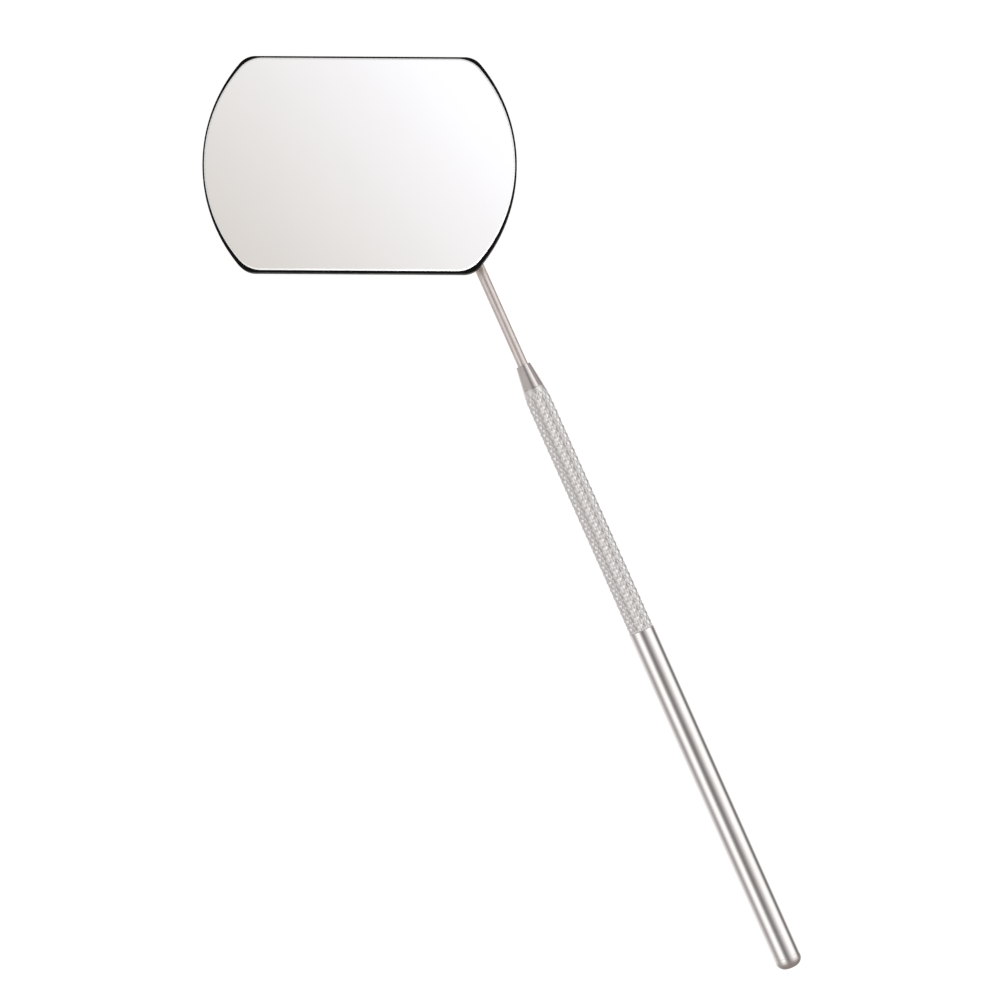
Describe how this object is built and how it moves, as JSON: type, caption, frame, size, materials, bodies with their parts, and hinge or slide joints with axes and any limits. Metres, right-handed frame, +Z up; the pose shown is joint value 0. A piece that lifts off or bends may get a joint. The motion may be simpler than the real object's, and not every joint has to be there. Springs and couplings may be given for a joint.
{
  "type": "mouth mirror",
  "caption": "Flat mouth mirror with a large truncated round head, black edge seal, wire stem and cone hub screwed into a knurled hollow steel handle.",
  "frame": {"origin": "middle of the whole instrument's footprint, on the surface that the handle lies on", "axes": "+X along the handle's axis, from the head to the butt end; +Z up, out of the reflecting face; +Y to the side away from the head's centre"},
  "size_m": [0.1998, 0.0594, 0.0066],
  "materials": {
    "coating": "front-surface reflecting coating, optically flat",
    "glass": "clear float glass with ground edges",
    "pad": "thin fibre and resin pad, matte",
    "seal": "black sealing resin, semi-gloss",
    "tray_steel": "stamped stainless steel, satin back",
    "solder": "silver solder, slightly rippled",
    "stem_steel": "drawn stainless wire, satin",
    "hub_steel": "turned and polished stainless steel",
    "handle_steel": "polished stainless steel, diamond knurl on the grip",
    "insert_steel": "turned stainless steel"
  },
  "bodies": {
    "handle": {"handle_tube": "handle_steel", "socket_insert": "insert_steel", "end_plug": "handle_steel"},
    "hub": {"cone_hub": "hub_steel"},
    "head": {"mirror_coating": "coating", "mirror_glass": "glass", "backing_pad": "pad", "edge_seal": "seal", "tray": "tray_steel", "foot_solder": "solder", "stem": "stem_steel"}
  },
  "joints": [
    {"name": "hub_travel", "type": "slide", "parent": "handle", "child": "hub", "axis": [-1, 0, 0], "range_m": [0, 0.0046]},
    {"name": "head_unscrew", "type": "hinge", "parent": "hub", "child": "head", "pos_m": [-0.02568, 0.0129, 0.0025], "axis": [-1, 0, 0], "range_deg": [0, 3600]}
  ],
  "couplings": [
    {"joint": "hub_travel", "follows": "head_unscrew", "m_per_rad": 0.00007162}
  ]
}
